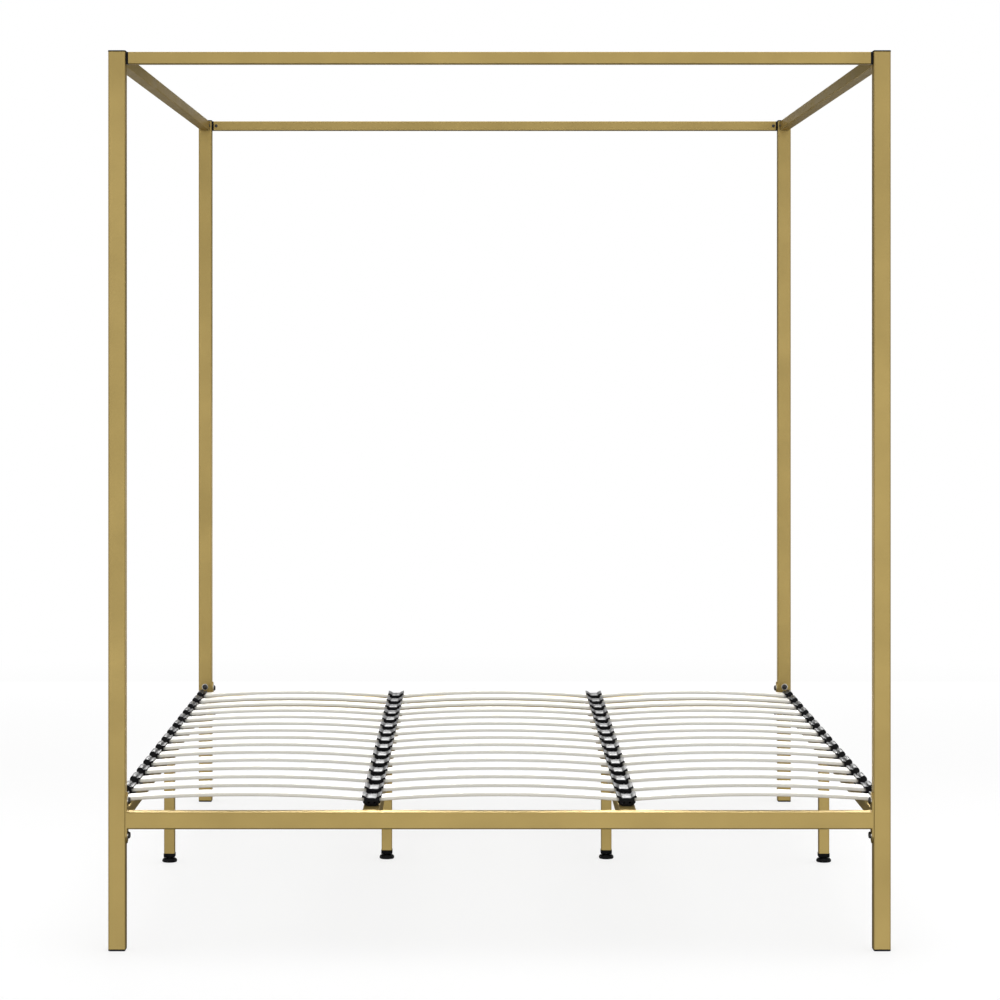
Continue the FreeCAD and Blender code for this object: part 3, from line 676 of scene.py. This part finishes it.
def make_levelling_feet():
    """Leg plugs with rounded collars, fluted feet and their threaded stems."""
    for name in leg_names:
        plug, pad, stem = name + "_leg_plug", name + "_foot_pad", name + "_foot_stem"
        body = name + "_foot"
        low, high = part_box(plug)
        half, inside = (high.x - low.x) / 2, SLIM_SIZE / 2 - PLUG_INSET
        bm = bmesh.new()
        square_loft(bm, [(0, half - 1.2 * MM, 1.6 * MM), (0.3 * MM, half - 0.4 * MM, 2.1 * MM),
                         (0.9 * MM, half, 2.4 * MM), (COLLAR - 0.3 * MM, half, 2.4 * MM),
                         (COLLAR - 0.02 * MM, half - 0.2 * MM, 2.3 * MM), (COLLAR, inside, 1 * MM),
                         (high.z - low.z, inside, 1 * MM)], upright(plug, low.z))
        add_piece(name + "_moulded_plug", bm, "black_plastic", [plug])
        low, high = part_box(pad)
        r, h = (high.x - low.x) / 2, high.z
        waist = 3.6 * MM
        sole = arc(r - 3.0 * MM, waist, 3.0 * MM, waist, -90, 0, 6)
        bulge = arc(r - 7.0 * MM, waist, 7.0 * MM, 6.5 * MM, 0, 90, 9)[1:]
        neck = [(9.3 * MM, 10.3 * MM), (8.9 * MM, h - 0.2 * MM), (8.4 * MM, h), (4.6 * MM, h),
                (4.2 * MM, h - 0.4 * MM)]
        profile = sole + bulge + neck
        bm = bmesh.new()
        lathe(bm, profile, upright(pad, 0), 96, 12, 0.7 * MM, (1.5 * MM, 9.5 * MM))
        add_piece(name + "_fluted_foot", bm, "black_plastic", [pad], body)
        low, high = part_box(stem)
        bm = bmesh.new()
        threaded_bar(bm, (high.x - low.x) / 2, low.z, high.z, upright(stem, 0))
        add_piece(name + "_threaded_stem", bm, "zinc_steel", [stem], body)


def threaded_bar(bm, radius, bottom, top, place):
    """A bar with a single-start V thread."""
    around, rows_per_turn = 24, 6
    rows = round((top - bottom) / STEM_PITCH * rows_per_turn)
    rings = []
    for row in range(rows + 1):
        height = bottom + (top - bottom) * row / rows
        ring = []
        for step in range(around):
            turn = step / around
            phase = ((height - bottom) / STEM_PITCH - turn) % 1.0
            r = radius - THREAD_DEPTH * abs(2 * phase - 1)
            if row in (0, rows):
                r = radius - THREAD_DEPTH
            angle = 2 * math.pi * turn
            ring.append(bm.verts.new(place @ Vector((r * math.cos(angle), r * math.sin(angle), height))))
        rings.append(ring)
    join_rings(bm, rings)
    bm.faces.new(list(reversed(rings[0])))
    bm.faces.new(rings[-1])


make_post_trim()
make_levelling_feet()


# ---- canopy connectors -----------------------------------------------------------------------

def make_connectors():
    """Spacer flanges between posts and canopy tubes, each with its plug inside the tube."""
    bm = bmesh.new()
    half, inside = SLIM_SIZE / 2, SLIM_SIZE / 2 - PLUG_INSET
    canopy_z = middle("foot_canopy_rail").z
    for name, sx, sy in ends:
        low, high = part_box(name + "_post")
        faces = [(Vector((low.x if sx > 0 else high.x, (low.y + high.y) / 2, canopy_z)), Vector((-sx, 0, 0))),
                 (Vector(((low.x + high.x) / 2, low.y if sy > 0 else high.y, canopy_z)), Vector((0, -sy, 0)))]
        for point, outward in faces:
            place = Matrix.Translation(point) @ outward.to_track_quat("Z", "Y").to_matrix().to_4x4()
            square_loft(bm, [(0, half - 0.5 * MM, 2 * MM), (0.4 * MM, half, 2.4 * MM),
                             (SPACER - 0.4 * MM, half, 2.4 * MM), (SPACER, half - 0.4 * MM, 2 * MM),
                             (SPACER + 0.02 * MM, inside, 1 * MM),
                             (SPACER + CONNECTOR - 1 * MM, inside, 1 * MM),
                             (SPACER + CONNECTOR, inside - 1 * MM, 0.6 * MM)], place)
    add_piece("canopy_moulded_connectors", bm, "black_plastic", ["canopy_connectors"])


make_connectors()


# ---- welds -------------------------------------------------------------------------------------

def make_welds():
    """Beads where plates are welded to the rails and the legs."""
    chance = random.Random(11)
    for name in ("foot_rail", "head_rail"):
        low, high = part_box(name)
        y = middle(name.replace("_rail", "_canopy_rail")).y
        bm = bmesh.new()
        for x in (low.x + PLATE_THICKNESS, high.x - PLATE_THICKNESS):
            for side in (-1, 1):
                z = rail_z + side * POST_SIZE / 2
                reach = POST_SIZE / 2 - 3 * MM
                weld_bead(bm, straight_path(Vector((x, y - reach, z)), Vector((x, y + reach, z))),
                          BEAD_RADIUS, False, chance)
        add_piece(name + "_weld_beads", bm, "gold_coat")
    for name in ("left_side_rail", "right_side_rail"):
        low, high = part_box(name)
        x = middle(name).x
        bm = bmesh.new()
        for y in (low.y + PLATE_THICKNESS, high.y - PLATE_THICKNESS):
            for side in (-1, 1):
                z = rail_z + side * SLIM_SIZE / 2
                reach = SLIM_SIZE / 2 - 3 * MM
                weld_bead(bm, straight_path(Vector((x - reach, y, z)), Vector((x + reach, y, z))),
                          BEAD_RADIUS, False, chance)
        add_piece(name + "_weld_beads", bm, "gold_coat")
    for name in leg_names:
        node = name + "_leg"
        low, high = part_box(node)
        point = middle(node)
        top = high.z - PLATE_THICKNESS
        bm = bmesh.new()
        if high.x - low.x > SLIM_SIZE + 1 * MM:
            place = Matrix.Translation((point.x, point.y, top))
            weld_bead(bm, square_path(SLIM_SIZE / 2, 2.4 * MM, place), BEAD_RADIUS, True, chance)
        else:
            for side in (-1, 1):
                y = point.y + side * SLIM_SIZE / 2
                reach = SLIM_SIZE / 2 - 2 * MM
                weld_bead(bm, straight_path(Vector((point.x - reach, y, top)),
                                            Vector((point.x + reach, y, top))),
                          BEAD_RADIUS, False, chance)
        add_piece(name + "_leg_weld_beads", bm, "gold_coat")


make_welds()


# ---- floor, light and camera -----------------------------------------------------------------

BACKGROUND = 1.0


def make_floor():
    """A plain pale floor that fades into the background far from the bed."""
    half = 60.0
    bm = bmesh.new()
    bm.faces.new([bm.verts.new((x, y, -FLOOR_DROP)) for x, y in
                  ((-half, -half), (half, -half), (half, half), (-half, half))])
    mesh = bpy.data.meshes.new("studio_floor")
    bm.to_mesh(mesh)
    bm.free()
    floor = bpy.data.objects.new("studio_floor", mesh)
    bpy.context.scene.collection.objects.link(floor)
    f = Finish("studio_floor")
    f.set(Roughness=0.9, Specular_IOR_Level=0.1)
    f.shader.inputs["Base Color"].default_value = (0.93, 0.93, 0.93, 1)
    glow = f.tree.nodes.new("ShaderNodeEmission")
    glow.inputs["Color"].default_value = (1, 1, 1, 1)
    glow.inputs["Strength"].default_value = BACKGROUND
    distance = f.tree.nodes.new("ShaderNodeVectorMath")
    distance.operation = "LENGTH"
    f.link(f.place, distance.inputs[0])
    fade = f.to_range(distance.outputs["Value"], 1.6, 5.0, 0.72, 1.0)
    mix = f.tree.nodes.new("ShaderNodeMixShader")
    f.link(fade, mix.inputs["Fac"])
    f.link(f.shader.outputs["BSDF"], mix.inputs[1])
    f.link(glow.outputs["Emission"], mix.inputs[2])
    f.link(mix.outputs["Shader"], f.tree.nodes["Material Output"].inputs["Surface"])
    mesh.materials.append(f.material)
    floor.visible_glossy = False
    floor.visible_diffuse = False


def make_world():
    """White behind the bed; for its light and reflections a studio with bright side walls and
    front, and dark behind."""
    world = bpy.data.worlds.new("studio")
    bpy.context.scene.world = world
    world.use_nodes = True
    tree = world.node_tree
    tree.nodes.clear()
    new, link = tree.nodes.new, tree.links.new
    where = new("ShaderNodeTexCoord")
    parts = new("ShaderNodeSeparateXYZ")
    link(where.outputs["Generated"], parts.inputs[0])

    def ramp(value, low, high, at_low, at_high):
        node = new("ShaderNodeMapRange")
        node.interpolation_type = "SMOOTHSTEP"
        for key, number in (("From Min", low), ("From Max", high), ("To Min", at_low), ("To Max", at_high)):
            node.inputs[key].default_value = number
        link(value, node.inputs["Value"])
        return node.outputs["Result"]

    def maths(operation, *values):
        node = new("ShaderNodeMath")
        node.operation = operation
        for value, socket in zip(values, node.inputs):
            link(value, socket)
        return node.outputs["Value"]

    forward = ramp(parts.outputs["Y"], -0.5, 0.3, 0.30, 0.08)
    sideways = ramp(maths("ABSOLUTE", parts.outputs["X"]), 0.45, 0.85, 0.0, 0.75)
    overhead = ramp(parts.outputs["Z"], 0.3, 0.8, 0.0, 0.35)
    total = maths("ADD", maths("ADD", forward, sideways), overhead)
    shown = new("ShaderNodeBackground")
    shown.inputs["Color"].default_value = (1, 1, 1, 1)
    shown.inputs["Strength"].default_value = BACKGROUND
    lit = new("ShaderNodeBackground")
    lit.inputs["Color"].default_value = (1, 1, 1, 1)
    link(total, lit.inputs["Strength"])
    path = new("ShaderNodeLightPath")
    mix = new("ShaderNodeMixShader")
    link(path.outputs["Is Camera Ray"], mix.inputs["Fac"])
    link(lit.outputs["Background"], mix.inputs[1])
    link(shown.outputs["Background"], mix.inputs[2])
    out = new("ShaderNodeOutputWorld")
    link(mix.outputs["Shader"], out.inputs["Surface"])


def area_light(name, place, target, size, power, spread=180):
    """A rectangular light of a size in metres and a power in watts, aimed at a target."""
    data = bpy.data.lights.new(name, "AREA")
    data.shape = "RECTANGLE"
    data.size, data.size_y = size
    data.energy = power
    data.spread = math.radians(spread)
    light = bpy.data.objects.new(name, data)
    light.location = place
    light.rotation_euler = (Vector(target) - Vector(place)).to_track_quat("-Z", "Y").to_euler()
    bpy.context.scene.collection.objects.link(light)
    light.visible_camera = False


def make_camera():
    """Level camera before the foot end, a little left of the middle, under the canopy's height."""
    data = bpy.data.cameras.new("camera")
    data.sensor_width = 36.0
    data.lens = 113.2
    data.shift_x = 0.020
    data.shift_y = -0.1626
    data.clip_end = 200.0
    camera = bpy.data.objects.new("camera", data)
    foot_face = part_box("foot_left_post")[0].y
    camera.location = (-0.0400, foot_face - 6.447, 1.2589)
    camera.rotation_euler = (math.pi / 2, 0, 0)
    bpy.context.scene.collection.objects.link(camera)
    bpy.context.scene.camera = camera


make_floor()
make_world()
area_light("overhead_softbox", (0.3, -0.2, 4.6), (0, 0, 0.3), (4.5, 5.0), 125)
area_light("front_panel", (0.5, -8.8, 0.4), (0, 0, 0.4), (10.0, 7.0), 332)
area_light("low_backdrop", (0, 4.0, 0.5), (0, 0, 0.5), (9.0, 1.0), 26)
area_light("back_softbox", (0, 3.6, 1.8), (0, -0.4, 0.29), (7.0, 0.8), 13, 36)
make_camera()
bpy.context.scene.view_settings.view_transform = "Standard"
